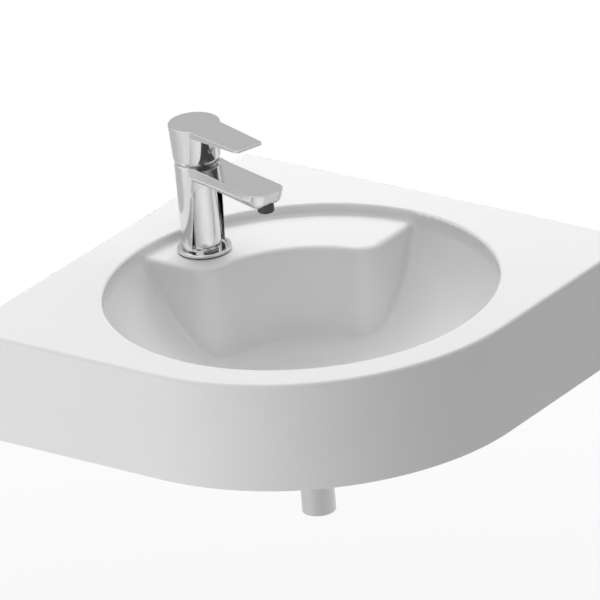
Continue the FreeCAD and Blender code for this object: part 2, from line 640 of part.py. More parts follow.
def waste():
    turned("waste_top_seal", DRAIN, [
        ("drain_radius + seal_inset", "0"), ("flange_radius - seal_inset", "0"),
        ("flange_radius - seal_inset", "waste_seal"), ("drain_radius + seal_inset", "waste_seal")])
    body = new_body("waste_body", DRAIN)
    turn(body, "waste_tube", [
        ("waste_bore", "tube_end"), ("waste_radius", "tube_end"), ("waste_radius", "waste_seal"),
        ("flange_radius", "waste_seal"), ("flange_radius", "flange_top - flange_brow"),
        ("flange_radius - flange_brow", "flange_top", "flange_brow"),
        ("waste_bore + waste_mouth", "flange_top"), ("waste_bore", "flange_top - waste_mouth")])
    sketch = new_sketch(body, "cross_hub_outline", "XY_Plane", "cross_end")
    ring(sketch, "0", "0", "cross_hub")
    extrude(body, "cross_hub", sketch, "guide_height")
    arm = pad(body, "cross_arm", "XY_Plane", [
        ("cross_hub / 2", "0 - arm_width / 2"), ("waste_bore + margin", "0 - arm_width / 2"),
        ("waste_bore + margin", "arm_width / 2"), ("cross_hub / 2", "arm_width / 2")],
        "guide_height", "cross_end")
    arms = body.newObject("PartDesign::PolarPattern", "cross_arms")
    arms.Originals = [arm]
    arms.Axis = (origin(body, "Z_Axis"), [""])
    arms.Angle = 360
    arms.Occurrences = 3
    body.Tip = arms
    doc.recompute()
    bore(body, "guide_hole", [("0", "0", "guide_radius")], "cross_end - margin", "cross_top + margin")
    keep(body)
    turned("plug_guide", DRAIN, [
        ("push_radius + fit", "cross_end - guide_height"), ("guide_radius", "cross_end - guide_height"),
        ("guide_radius", "cross_top"), ("cross_hub", "cross_top"), ("cross_hub", "cross_top + guide_head"),
        ("push_radius + fit", "cross_top + guide_head")])
    turned("plug_spindle", DRAIN, [
        ("0", "plug_under - push_length"), ("push_radius", "plug_under - push_length"),
        ("push_radius", "plug_under + push_seat"), ("0", "plug_under + push_seat")])
    ring_end = "plug_under - plug_ring_height"
    seal_seat = "plug_ring_radius - plug_wall"
    turned("waste_plug", DRAIN, [
        ("push_radius", ring_end), ("cross_hub", ring_end), ("cross_hub", "plug_under"),
        (seal_seat + " - plug_wall", "plug_under"), (seal_seat + " - plug_wall", ring_end),
        (seal_seat, ring_end), (seal_seat, "plug_under"),
        ("plug_radius", "plug_under"), ("plug_radius", "plug_under + plug_edge"),
        ("0", "plug_under + plug_crown", "crown_curve"),
        ("0", "plug_under + push_seat"), ("push_radius", "plug_under + push_seat")])
    turned("plug_seal", DRAIN, [
        (seal_seat, "plug_under - 3 * plug_lip_edge"), ("plug_ring_radius", "plug_under - 3 * plug_lip_edge"),
        ("plug_ring_radius + plug_lip", "plug_under - plug_lip_edge"),
        ("plug_ring_radius + plug_lip", "plug_under"), (seal_seat, "plug_under")])
    turned("waste_nut_seal", DRAIN, [
        ("waste_radius + fit", "lock_plate_top"), ("plate_radius", "lock_plate_top"),
        ("plate_radius - nut_rubber / 2", "boss_end"), ("waste_radius + fit", "boss_end")])
    turned("waste_washer", DRAIN, [
        ("waste_radius + fit", "lock_nut_top"), ("plate_radius", "lock_nut_top"),
        ("plate_radius", "lock_plate_top"), ("waste_radius + fit", "lock_plate_top")])
    nut = new_body("waste_lock_nut", DRAIN)
    sketch = new_sketch(nut, "lock_nut_outline", "XY_Plane", "lock_nut_top - lock_nut_height")
    draw(sketch, hexagon("lock_nut_flats"))
    ring(sketch, "0", "0", "waste_radius + fit")
    extrude(nut, "lock_nut_raised", sketch, "lock_nut_height")
    keep(nut)
    turned("waste_tail", DRAIN, [
        ("tail_radius - tail_wall", "tube_end - tail_length"), ("tail_radius", "tube_end - tail_length"),
        ("tail_radius", "tube_end"), ("waste_bore", "tube_end"), ("waste_bore", "tube_end + tail_socket"),
        ("tail_radius - tail_wall", "tube_end + tail_socket")])


# ---- Mixer: fixing -----------------------------------------------------------------------------------

def pair(label, builder):
    """Two equal pieces, one in front of the mixer's axis and one behind it, as one node."""
    halves = []
    for name, sign in (("front", ""), ("back", "0 - ")):
        body = new_body("%s_%s" % (label, name), TAP)
        builder(body, sign + "stud_x")
        halves.append(body)
    group = doc.addObject("Part::Compound", label)
    group.Label = label
    group.Links = halves
    doc.recompute()
    return keep(group)


def stud(body, x):
    sketch = new_sketch(body, body.Label + "_outline", "XY_Plane", "shoe_top - stud_reach")
    ring(sketch, x, "0", "stud_radius")
    extrude(body, body.Label + "_raised", sketch, "cavity_height + stud_depth + stud_reach - shoe_top")


def stud_nut(body, x):
    sketch = new_sketch(body, body.Label + "_outline", "XY_Plane", "stud_nut_top - nut_height")
    draw(sketch, [("%s + %s" % (x, across), up) for across, up in hexagon("nut_flats")])
    ring(sketch, x, "0", "stud_radius + fit")
    extrude(body, body.Label + "_raised", sketch, "nut_height")


def horseshoe(label, top, thickness):
    """A washer with a slot that lets it pass the hoses, and a hole for each stud."""
    body = new_body(label, TAP)
    sketch = new_sketch(body, label + "_outline", "XY_Plane", "%s - %s" % (top, thickness))
    ring(sketch, "0", "0", "shoe_radius")
    extrude(body, label + "_raised", sketch, thickness)
    slot = new_sketch(body, label + "_slot_outline", "XY_Plane", top + " + margin")
    half = "shoe_slot / 2"
    draw(slot, [
        ("0 - " + half, "0 - inlet_y"), (half, "0 - inlet_y"),
        (half, "shoe_radius + margin"), ("0 - " + half, "shoe_radius + margin")])
    extrude(body, label + "_slot", slot, thickness + " + 2 * margin", "PartDesign::Pocket")
    low = "%s - %s - margin" % (top, thickness)
    high = top + " + margin"
    bore(body, label + "_slot_end", [("0", "0 - inlet_y", half)], low, high)
    bore(body, label + "_holes", [(side, "0", "stud_radius + fit") for side in ("stud_x", "0 - stud_x")],
         low, high)
    keep(body)


def fixing():
    turned("tap_base_seal", TAP, [
        ("tap_hole_radius + seal_inset", "0"), ("ring_radius - seal_inset", "0"),
        ("ring_radius - seal_inset", "base_seal"), ("tap_hole_radius + seal_inset", "base_seal")])
    turned("tap_base_ring", TAP, [
        ("cavity_radius", "base_seal"), ("ring_radius - ring_chamfer", "base_seal"),
        ("ring_radius", "base_seal + ring_chamfer"), ("ring_radius", "ring_height - ring_brow"),
        ("ring_radius - ring_brow", "ring_height", "ring_brow"),
        ("ring_inside + ring_height - ring_land", "ring_height"), ("ring_inside", "ring_land"),
        ("cavity_radius", "ring_land")])
    pair("fixing_studs", stud)
    horseshoe("horseshoe_rubber", "shoe_top", "shoe_rubber")
    horseshoe("horseshoe_washer", "plate_top", "shoe_plate")
    pair("stud_nuts", stud_nut)


# ---- Mixer: body -------------------------------------------------------------------------------------

def spout(body):
    pad(body, "spout_raised", "XY_Plane", [
        ("0", "0 - spout_root"), ("spout_flare", "0 - spout_waist", "-flare_curve"),
        ("spout_reach", "0 - spout_tip"), ("spout_reach", "spout_tip"), ("spout_flare", "spout_waist"),
        ("0", "spout_root", "-flare_curve")], "spout_depth", "spout_under")
    nose = new_sketch(body, "nose_outline", "XZ_Plane", "0 - spout_tip - margin")
    below = "spout_under - margin"
    lean = "(spout_depth + margin) * tan(nose_lean * 1 deg)"
    draw(nose, [
        ("spout_reach", "spout_top"), ("spout_reach - " + lean, below), ("spout_reach + margin", below),
        ("spout_reach + margin", "spout_top")])
    cut = extrude(body, "nose", nose, "2 * (spout_tip + margin)", "PartDesign::Pocket", reverse=True)
    reach = number("spout_reach")
    depth = number("spout_depth")
    corners = round_edges(body, "spout_corners", cut, "spout_corner",
                          lambda spot, way: spot.x > reach - depth and abs(way.z) > UPRIGHT)
    under = number("spout_under")
    wall = number("column_top_radius")
    belly = round_edges(body, "belly", corners, "spout_belly",
                        lambda spot, way: near(spot.z, under) and spot.x > wall)
    top = number("spout_top")
    return round_edges(body, "spout_edges", belly, "spout_brow",
                       lambda spot, way: near(spot.z, top) and spot.x > TOUCH)


def tap_body():
    body = new_body("tap_body", TAP)
    foot = "ring_land"
    turn(body, "column", [
        ("0", foot), ("column_neck_radius", foot), ("column_neck_radius", foot + " + column_neck"),
        ("column_foot_radius - column_chamfer", foot + " + column_neck"),
        ("column_foot_radius", foot + " + column_neck + column_chamfer"),
        ("column_top_radius", "shoulder"), ("column_land", "column_height", "ball_radius"),
        ("0", "column_height")])
    arch = new_sketch(body, "arch_outline", "YZ_Plane")
    draw(arch, [
        ("0 - arch_foot", foot + " - margin"), ("arch_foot", foot + " - margin"),
        ("arch_top", "arch_height - arch_corner"),
        ("arch_top - arch_corner", "arch_height", "arch_corner"),
        ("arch_corner - arch_top", "arch_height"),
        ("0 - arch_top", "arch_height - arch_corner", "arch_corner")])
    extrude(body, "arch", arch, "column_top_radius + margin", "PartDesign::Pocket", reverse=True)
    turn(body, "core", [
        ("0", foot), ("core_foot_radius", foot), ("core_top_radius", "spout_under"), ("0", "spout_under")])
    spout(body)
    turn(body, "cap_seat", [
        ("0", "column_height"), ("column_land", "column_height"),
        ("pocket_radius", "pocket_floor", "-ball_radius"),
        ("pocket_radius", "spout_top + margin"), ("0", "spout_top + margin")], "PartDesign::Groove")
    turn(body, "chamber", [
        ("0", "chamber_floor"), ("cartridge_radius + slip", "chamber_floor"),
        ("cartridge_radius + slip", "cartridge_top"), ("nut_ring_radius + slip", "cartridge_top"),
        ("nut_ring_radius + slip", "column_height + margin"), ("0", "column_height + margin")],
        "PartDesign::Groove")
    turn(body, "foot_cavity", [
        ("0", foot + " - margin"), ("cavity_radius", foot + " - margin"), ("cavity_radius", "cavity_height"),
        ("0", "cavity_height")], "PartDesign::Groove")
    bore(body, "inlets", [("0", "inlet_y", "inlet_radius"), ("0", "0 - inlet_y", "inlet_radius")],
         "cavity_height - margin", "cavity_height + inlet_depth")
    bore(body, "stud_holes", [(side, "0", "stud_radius + fit") for side in ("stud_x", "0 - stud_x")],
         "cavity_height - margin", "cavity_height + stud_depth + slip")
    bore(body, "inlet_ports", [(x, y, "port_radius") for x, y in ports()[:2]],
         "cavity_height + inlet_depth - margin", "chamber_floor + margin")
    bore(body, "outlet_port", [("port_front", "0", "port_radius")], "outlet_low", "chamber_floor + margin")
    bore(body, "outlet_run", [("0", "outlet_low + riser_radius", "run_radius")],
         "port_front", "riser_front", "YZ_Plane")
    bore(body, "outlet_gallery", [("riser_aside", "outlet_low + riser_radius", "run_radius")],
         "0 - riser_side", "riser_side", "XZ_Plane")
    risers = [("riser_front", "0"), ("riser_aside", "riser_side"), ("riser_aside", "0 - riser_side")]
    bore(body, "risers", [(x, y, "riser_radius") for x, y in risers],
         "outlet_low + riser_radius", "waterway_height")
    bore(body, "waterway", [("0", "waterway_height", "waterway_radius")],
         "riser_front", "aerator_reach", "YZ_Plane")
    bore(body, "collar_seat", [("aerator_reach", "0", "aerator_radius + fit")],
         "spout_under - margin", "spout_under + aerator_sink")
    bore(body, "aerator_seat", [("aerator_reach", "0", "aerator_thread + fit")],
         "spout_under - margin", "aerator_top")
    return keep(body)


# ---- Mixer: aerator ----------------------------------------------------------------------------------

def aerator():
    thread_inside = "aerator_thread - aerator_wall"
    bottom = "spout_under - aerator_drop"
    turned("aerator_housing", AERATOR, [
        ("aerator_thread - 2 * aerator_wall", bottom), ("aerator_radius - aerator_chamfer", bottom),
        ("aerator_radius", bottom + " + aerator_chamfer"), ("aerator_radius", "spout_under + aerator_sink"),
        ("aerator_thread", "spout_under + aerator_sink"), ("aerator_thread", "aerator_top - aerator_seal"),
        (thread_inside, "aerator_top - aerator_seal"), (thread_inside, bottom + " + aerator_wall"),
        ("aerator_thread - 2 * aerator_wall", bottom + " + aerator_wall")])
    insert = new_body("aerator_insert", AERATOR)
    turn(insert, "insert_turned", [
        ("0", bottom + " + aerator_wall"), (thread_inside + " - fit", bottom + " + aerator_wall"),
        (thread_inside + " - fit", "aerator_top - aerator_seal"), ("0", "aerator_top - aerator_seal")])
    low = bottom + " + aerator_wall - margin"
    bore(insert, "middle_jet", [("0", "0", "jet_radius")], low, "aerator_top")
    for count, share in JET_RINGS:
        out = "%s * (%s)" % (share, thread_inside)
        turns = [360.0 / count * place for place in range(count)]
        bore(insert, "jets_%d" % count, [
            ("%s * cos(%s deg)" % (out, turn_by), "%s * sin(%s deg)" % (out, turn_by), "jet_radius")
            for turn_by in turns], low, "aerator_top")
    keep(insert)
    turned("aerator_seal", AERATOR, [
        ("waterway_radius + seal_inset", "aerator_top - aerator_seal"),
        ("aerator_thread", "aerator_top - aerator_seal"),
        ("aerator_thread", "aerator_top"), ("waterway_radius + seal_inset", "aerator_top")])


# ---- Mixer: cartridge --------------------------------------------------------------------------------

def ports():
    """Where water passes the cartridge's floor: two inlets and the outlet."""
    return [("0 - port_back", "port_side"), ("0 - port_back", "0 - port_side"), ("port_front", "0")]


def cartridge_shell():
    body = new_body("cartridge_housing", TAP)
    low = "chamber_floor + port_seal"
    bore_radius = "cartridge_radius - cartridge_wall"
    turn(body, "housing_turned", [
        ("0", low), ("cartridge_radius", low), ("cartridge_radius", "cartridge_top"),
        ("lid_radius", "cartridge_top"), ("lid_radius", "pivot_height + rotor_high + slip"),
        (bore_radius, "pivot_height + rotor_high + slip"), (bore_radius, "disc_low"), ("0", "disc_low")])
    bore(body, "housing_ports", [(x, y, "port_radius") for x, y in ports()],
         low + " - margin", "disc_low + margin")
    keep(body)
    seals = []
    for place, (x, y) in enumerate(ports()):
        seal = new_body("port_seal_%d" % place, TAP)
        sketch = new_sketch(seal, "seal_outline_%d" % place, "XY_Plane", "chamber_floor")
        ring(sketch, x, y, "port_radius + slip + seal_wall")
        ring(sketch, x, y, "port_radius + slip")
        extrude(seal, "seal_raised_%d" % place, sketch, "port_seal")
        seals.append(seal)
    group = doc.addObject("Part::Compound", "cartridge_seals")
    group.Label = "cartridge_seals"
    group.Links = seals
    doc.recompute()
    keep(group)


def discs():
    fixed = new_body("fixed_disc", TAP)
    sketch = new_sketch(fixed, "fixed_disc_outline", "XY_Plane", "disc_low")
    ring(sketch, "0", "0", "cartridge_radius - cartridge_wall - slip")
    extrude(fixed, "fixed_disc_raised", sketch, "disc_height")
    bore(fixed, "fixed_disc_ports", [(x, y, "port_radius") for x, y in ports()],
         "disc_low - margin", "disc_low + disc_height + margin")
    keep(fixed)
    sliding = new_body("sliding_disc", TAP)
    sketch = new_sketch(sliding, "sliding_disc_outline", "XY_Plane", "slide_low")
    ring(sketch, "0 - ball_back", "0", "carrier_radius")
    extrude(sliding, "sliding_disc_raised", sketch, "disc_height")
    bore(sliding, "mixing_pocket", [("mixing_front - ball_back", "0", "mixing_radius")],
         "slide_low - margin", "slide_low + disc_height / 2")
    keep(sliding)
    carrier = new_body("disc_carrier", TAP)
    sketch = new_sketch(carrier, "carrier_outline", "XY_Plane", "carrier_low")
    ring(sketch, "0 - ball_back", "0", "carrier_radius")
    extrude(carrier, "carrier_raised", sketch, "carrier_height")
    bore(carrier, "ball_pocket", [("0 - ball_back", "0", "spindle_ball + slip")],
         "pivot_height - spindle_arm - spindle_ball - slip", "carrier_low + carrier_height + margin")
    keep(carrier)


def rotor():
    body = new_body("cartridge_rotor", TAP)
    sketch = new_sketch(body, "rotor_outline", "XY_Plane", "pivot_height - rotor_low")
    ring(sketch, "0", "0", "cartridge_radius - cartridge_wall - slip")
    extrude(body, "rotor_raised", sketch, "rotor_low + rotor_high")
    slot = new_sketch(body, "rotor_slot_outline", "XY_Plane", "pivot_height - rotor_low - margin")
    reach = "(spindle_width / 2 / cos(spindle_lean * 1 deg) + rotor_high * tan(spindle_lean * 1 deg) + slip)"
    half = "(spindle_width / 2 + slip)"
    draw(slot, box(reach, half))
    extrude(body, "rotor_slot", slot, "rotor_low + rotor_high + 2 * margin", "PartDesign::Pocket",
            reverse=True)
    across = "cartridge_radius"
    bore(body, "pin_hole", [("0", "pivot_height", "pin_radius")], "0 - " + across, across, "XZ_Plane")
    keep(body)
    pin = new_body("pivot_pin", TAP)
    sketch = new_sketch(pin, "pin_outline", "XZ_Plane", "0 - (cartridge_radius - cartridge_wall - 5 * slip)")
    ring(sketch, "0", "pivot_height", "pin_radius")
    extrude(pin, "pin_raised", sketch, "2 * (cartridge_radius - cartridge_wall - 5 * slip)")
    keep(pin)


def spindle():
    body = new_body("cartridge_spindle", PIN)
    half = "spindle_width / 2"
    pad(body, "shank", "XY_Plane", box(half, half), "spindle_length + rotor_low / 2", "0 - rotor_low / 2")
    turn(body, "arm", [
        ("0", "0 - spindle_arm - spindle_ball"), ("spindle_ball", "0 - spindle_arm", "spindle_ball"),
        ("spindle_neck", "2 * spindle_ball - spindle_arm"), ("spindle_neck", "0"), ("0", "0")])
    bore(body, "spindle_pin_hole", [("0", "0", "pin_radius + fit")],
         "0 - spindle_width", "spindle_width", "XZ_Plane")
    keep(body)


def cartridge():
    cartridge_shell()
    discs()
    rotor()
    spindle()
    turned("cartridge_nut", TAP, [
        ("nut_ring_bore", "cartridge_top"), ("nut_ring_radius", "cartridge_top"),
        ("nut_ring_radius", "cartridge_top + nut_ring_height"),
        ("nut_ring_bore", "cartridge_top + nut_ring_height")])
    turned("dome", TAP, [
        ("dome_bore", "cartridge_top + nut_ring_height"), ("dome_skirt", "cartridge_top + nut_ring_height"),
        ("dome_skirt", "column_height"), ("dome_radius", "column_height"),
        ("dome_radius", "pivot_height + sqrt(ball_radius ^ 2 - dome_radius ^ 2)"),
        ("dome_bore", "pivot_height + sqrt(ball_radius ^ 2 - dome_bore ^ 2)", "ball_radius")])


# ---- Mixer: handle -----------------------------------------------------------------------------------

def handle():
    body = new_body("lever_handle", TAP)
    turn(body, "cap", [
        ("0", "shoulder"), ("handle_foot_radius - slip", "shoulder"),
        ("handle_foot_radius", "column_height"), ("handle_bevel_radius", "handle_bevel_height"),
        ("handle_top_radius", "handle_top"), ("0", "handle_top")])
    lever = pad(body, "lever", "XY_Plane", [
        ("0", "0 - lever_root"), ("lever_reach", "0 - lever_tip"), ("lever_reach", "lever_tip"),
        ("0", "lever_root")], "lever_depth", "lever_under")
    reach = number("lever_reach")
    corners = round_edges(body, "lever_corners", lever, "lever_corner",
                          lambda spot, way: near(spot.x, reach) and abs(way.z) > UPRIGHT)
    under = new_sketch(body, "under_outline", "XZ_Plane", "0 - handle_top_radius - margin")
    draw(under, [
        ("lever_bend", "lever_under - margin"), ("lever_reach + margin", "lever_under - margin"),
        ("lever_reach + margin", "handle_top - lever_thickness"), ("lever_bend", "lever_under")])
    cut = extrude(body, "under", under, "2 * (handle_top_radius + margin)", "PartDesign::Pocket",
                  reverse=True)
    top = number("handle_top")
    round_edges(body, "handle_edges", cut, "handle_brow", lambda spot, way: near(spot.z, top))
    hollow = new_sketch(body, "hollow_outline", "XY_Plane", "pivot_height")
    ring(hollow, "0", "0", "handle_bore")
    ring(hollow, "hub_front", "0", "hub_radius")
    extrude(body, "hollow", hollow, "handle_top - handle_roof - pivot_height", "PartDesign::Pocket",
            reverse=True)
    turn(body, "ball_socket", [
        ("0", "pivot_height - socket_radius"), ("socket_radius", "pivot_height", "socket_radius"),
        ("0", "pivot_height + socket_radius", "socket_radius")], "PartDesign::Groove")
    socket = body.newObject("PartDesign::SubtractiveBox", "spindle_socket")
    socket.AttachmentSupport = [(origin(body, "XY_Plane"), "")]
    half = "(spindle_width / 2 + fit)"
    socket.setExpression(".AttachmentOffset", spell(
        "placement(vector(0; 0; pivot_height); rotation(0; spindle_lean; 0))"
        " * placement(vector(0 - %s; 0 - %s; socket_radius / 2); rotation(0; 0; 0))" % (half, half)))
    socket.MapMode = "FlatFace"
    socket.setExpression("Length", spell("2 * " + half))
    socket.setExpression("Width", spell("2 * " + half))
    socket.setExpression("Height", spell("spindle_length + fit - socket_radius / 2"))
    doc.recompute()
    bore(body, "grub_hole", [("0", "grub_height", "grub_radius + fit")],
         "hub_front", "handle_top_radius + margin", "YZ_Plane")
    keep(body)
    screw = new_body("grub_screw", TAP)
    sketch = new_sketch(screw, "screw_outline", "YZ_Plane", "grub_in")
    ring(sketch, "0", "grub_height", "grub_radius")
    extrude(screw, "screw_raised", sketch, "grub_out - grub_in")
    hexed = new_sketch(screw, "screw_socket_outline", "YZ_Plane", "grub_out - grub_radius")
    draw(hexed, [(across, "grub_height + %s" % up) for across, up in hexagon("grub_hex * cos(30 deg)")])
    extrude(screw, "screw_socket", hexed, "grub_radius + margin", "PartDesign::Pocket", reverse=True)
    keep(screw)


def build():
    basin()
    waste()
    fixing()
    tap_body()
    aerator()
    cartridge()
    handle()


build()
doc.recompute()

for item in doc.Objects:
    if "Invalid" in item.State or "Error" in item.State:
        raise SystemExit("failed: %s %s" % (item.Name, item.State))
for piece in nodes:
    if piece.Shape.isNull() or not piece.Shape.isValid():
        raise SystemExit("bad shape: " + piece.Label)

os.makedirs(PARTS_FOLDER, exist_ok=True)
for piece in nodes:
    piece.Shape.exportStep(os.path.join(PARTS_FOLDER, piece.Label + ".step"))
    print("%-20s %d solid(s) %12.1f mm3" % (piece.Label, len(piece.Shape.Solids), piece.Shape.Volume))
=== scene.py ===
import json
import math

import bpy
from mathutils import Matrix, Vector

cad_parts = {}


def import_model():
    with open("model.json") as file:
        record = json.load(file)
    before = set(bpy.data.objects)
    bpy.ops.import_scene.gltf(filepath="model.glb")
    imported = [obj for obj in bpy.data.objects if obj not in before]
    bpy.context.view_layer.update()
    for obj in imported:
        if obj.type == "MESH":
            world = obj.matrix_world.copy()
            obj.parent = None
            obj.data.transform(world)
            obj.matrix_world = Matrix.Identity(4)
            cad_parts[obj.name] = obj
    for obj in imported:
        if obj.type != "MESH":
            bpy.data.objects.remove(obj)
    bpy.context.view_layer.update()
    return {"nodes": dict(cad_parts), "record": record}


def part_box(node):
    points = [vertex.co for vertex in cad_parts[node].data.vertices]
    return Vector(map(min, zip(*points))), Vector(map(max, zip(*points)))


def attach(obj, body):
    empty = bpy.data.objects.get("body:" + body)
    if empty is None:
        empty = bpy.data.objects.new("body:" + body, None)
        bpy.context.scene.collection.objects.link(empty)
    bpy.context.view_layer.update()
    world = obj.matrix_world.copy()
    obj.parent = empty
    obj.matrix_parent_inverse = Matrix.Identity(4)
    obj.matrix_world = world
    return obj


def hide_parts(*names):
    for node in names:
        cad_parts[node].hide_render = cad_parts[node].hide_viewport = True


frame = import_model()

nodes = frame["nodes"]
scene = bpy.context.scene

# Metres, in the CAD's frame: the origin is the corner of the walls at the height of the basin's flat top.

# Camera, fitted to the basin's outline in the photograph
EYE = Vector((5.0813, -6.5493, 3.5715))
TARGET = Vector((0.247, -0.256, 0.0))
ROLL = math.radians(-4.70)
LENS = 566.3            # millimetres, and so is the sensor's width
SENSOR_WIDTH = 36.0
CLIP_END = 100.0

# Studs
STUD_RADIUS = 0.003
THREAD_PITCH = 0.001
THREAD_DEPTH = 0.54     # of the pitch, crest to root
THREAD_SIDES = 28       # points in each ring
RINGS_PER_TURN = 4

# Finishes
WALL_BAND = 0.0012      # the wall faces and their edges, where the glaze is wiped off
EDGE = 0.0008           # rounding of the metal's edges

# Studio
FLOOR_Z = -0.85
FLOOR_SPAN = 60.0
FLOOR_GREY = 0.66
SHADOW_REACH = 2.0      # how far round the object the camera sees something of the floor's own shade
NEAREST_WHITE = 0.45    # share of plain white that the camera sees on the floor under the object
AMBIENT = 0.316         # strength of the world's even light on the object
LAMP_DISTANCE = 3.0
CARD_DISTANCE = 4.0

# Name, degrees to the right of the camera, degrees above the horizon, width and height, watts
LAMPS = [
    ("top", 0, 88, (2.2, 2.2), 29),
    ("back", 180, 45, (2.6, 1.6), 66),
    ("back_right", 130, 40, (2.0, 1.6), 14),
    ("low_left", -70, -5, (2.0, 0.7), 34.5),
    ("low_front", -15, -5, (2.0, 0.7), 9.5),
]

# The same, but the last value is the card's grey
CARDS = [
    ("grey_back", 180, 34, (9.0, 3.6), 0.60),
    ("dark_right", 48, 30, (11.0, 1.8), 0.07),
]


# ---- Shaders -----------------------------------------------------------------------------------------

class Shader:
    """A material with one Principled shader, and short names for the nodes that feed it."""

    # The Mix node's sockets for each kind of value: first input, second input, output
    MIX_SOCKETS = {"FLOAT": (2, 3, 0), "RGBA": (6, 7, 2)}

    def __init__(self, name, **settings):
        self.material = bpy.data.materials.new(name)
        self.material.use_nodes = True
        self.tree = self.material.node_tree
        self.surface = self.tree.nodes["Principled BSDF"]
        for socket, value in settings.items():
            self.surface.inputs[socket.replace("_", " ")].default_value = value

    def node(self, kind, **sockets):
        made = self.tree.nodes.new(kind)
        for socket, value in sockets.items():
            self.feed(made.inputs[socket.replace("_", " ")], value)
        return made

    def feed(self, socket, value):
        if isinstance(value, bpy.types.NodeSocket):
            self.tree.links.new(value, socket)
        else:
            socket.default_value = value

    def show(self, shader):
        """Give the material another shader than the Principled one."""
        self.feed(self.tree.nodes["Material Output"].inputs["Surface"], shader)

    def glow(self, grey):
        return self.node("ShaderNodeEmission", Color=(grey, grey, grey, 1.0), Strength=1.0).outputs[0]

    def place(self):
        return self.tree.nodes.new("ShaderNodeTexCoord").outputs["Object"]

    def stretched(self, scale):
        return self.node("ShaderNodeMapping", Vector=self.place(), Scale=scale).outputs["Vector"]

    def noise(self, scale, detail=2.0, stretch=None):
        where = self.stretched(stretch) if stretch else self.place()
        return self.node("ShaderNodeTexNoise", Vector=where, Scale=scale, Detail=detail).outputs["Fac"]

    def math(self, operation, first, second):
        made = self.node("ShaderNodeMath")
        made.operation = operation
        self.feed(made.inputs[0], first)
        self.feed(made.inputs[1], second)
        return made.outputs[0]

    def span(self, value, low, high):
        made = self.node("ShaderNodeMapRange", Value=value)
        made.inputs["To Min"].default_value = low
        made.inputs["To Max"].default_value = high
        return made.outputs["Result"]

    def mix(self, share, first, second, kind="FLOAT"):
        made = self.node("ShaderNodeMix")
        made.data_type = kind
        first_input, second_input, output = self.MIX_SOCKETS[kind]
        self.feed(made.inputs[0], share)
        for index, value in ((first_input, first), (second_input, second)):
            self.feed(made.inputs[index], (*value, 1.0) if isinstance(value, tuple) else value)
        return made.outputs[output]

    def colour(self, value, dark, light):
        self.feed(self.surface.inputs["Base Color"], self.mix(value, dark, light, "RGBA"))

    def roughness(self, value, low, high):
        self.feed(self.surface.inputs["Roughness"], self.span(value, low, high))

    def bump(self, height, depth, strength, edge=None):
        """Relief on the surface, and rounded edges that catch the light where edge gives their radius."""
        made = self.node("ShaderNodeBump", Height=height, Distance=depth, Strength=strength)
        if edge:
            self.feed(made.inputs["Normal"], self.node("ShaderNodeBevel", Radius=edge).outputs["Normal"])
        self.feed(self.surface.inputs["Normal"], made.outputs["Normal"])


# ---- Finishes ----------------------------------------------------------------------------------------

def glaze():
    """White glaze over a cream body, which is bare where the basin is set against the walls."""
    made = Shader("white_glaze", IOR=1.5)
    axes = made.node("ShaderNodeSeparateXYZ", Vector=made.place())
    left_wall = made.math("LESS_THAN", axes.outputs["X"], WALL_BAND)
    right_wall = made.math("GREATER_THAN", axes.outputs["Y"], -WALL_BAND)
    bare = made.math("MAXIMUM", left_wall, right_wall)

    clay = made.mix(made.noise(260.0, detail=4.0), (0.70, 0.67, 0.61), (0.79, 0.77, 0.72), "RGBA")
    white = made.mix(made.noise(9.0, detail=3.0), (0.778, 0.777, 0.778), (0.798, 0.797, 0.798), "RGBA")
    made.feed(made.surface.inputs["Base Color"], made.mix(bare, white, clay, "RGBA"))

    gloss = made.span(made.noise(40.0, detail=3.0), 0.06, 0.10)
    matt_clay = made.span(made.noise(90.0), 0.62, 0.8)
    made.feed(made.surface.inputs["Roughness"], made.mix(bare, gloss, matt_clay))

    ripples = made.noise(14.0, detail=1.0)
    grit = made.noise(900.0)
    made.bump(made.mix(bare, ripples, grit), depth=0.0004, strength=0.2)
    return made.material


def metal(name, dark, light, rough, polish, relief, stretch=None):
    """A metal that varies a little. polish is a scale, and relief a scale, a depth and a strength."""
    made = Shader(name, Metallic=1.0)
    scale, depth, strength = relief
    made.colour(made.noise(40.0, detail=3.0), dark, light)
    made.roughness(made.noise(polish, 3.0, stretch), *rough)
    made.bump(made.noise(scale, 1.0, stretch), depth, strength, EDGE)
    return made.material


def chrome():
    """Bright plating, with long, faint ripples."""
    return metal("bright_chrome", (0.735, 0.74, 0.745), (0.755, 0.76, 0.765), rough=(0.08, 0.12),
                 polish=160.0, relief=(22.0, 0.0002, 0.12))


def brass():
    """Bare brass, with the fine rings that a lathe leaves."""
    return metal("turned_brass", (0.72, 0.55, 0.27), (0.80, 0.63, 0.33), rough=(0.20, 0.34),
                 polish=900.0, relief=(1500.0, 0.00003, 0.5), stretch=(1.0, 1.0, 14.0))


def steel():
    """Stainless steel, with rings as fine as the brass has."""
    return metal("stainless_steel", (0.56, 0.565, 0.57), (0.66, 0.665, 0.67), rough=(0.24, 0.38),
                 polish=900.0, relief=(1600.0, 0.00003, 0.5), stretch=(1.0, 1.0, 12.0))


def matt(name, dark, light, rough, grain, level=0.45):
    """Rubber, plastic or lapped ceramic, with a fine grain."""
    made = Shader(name, Specular_IOR_Level=level)
    spread = 0.06
    made.colour(made.noise(160.0, detail=3.0), dark, light)
    made.roughness(made.noise(300.0), rough - spread, rough + spread)
    made.bump(made.noise(grain), depth=0.00004, strength=0.5)
    return made.material


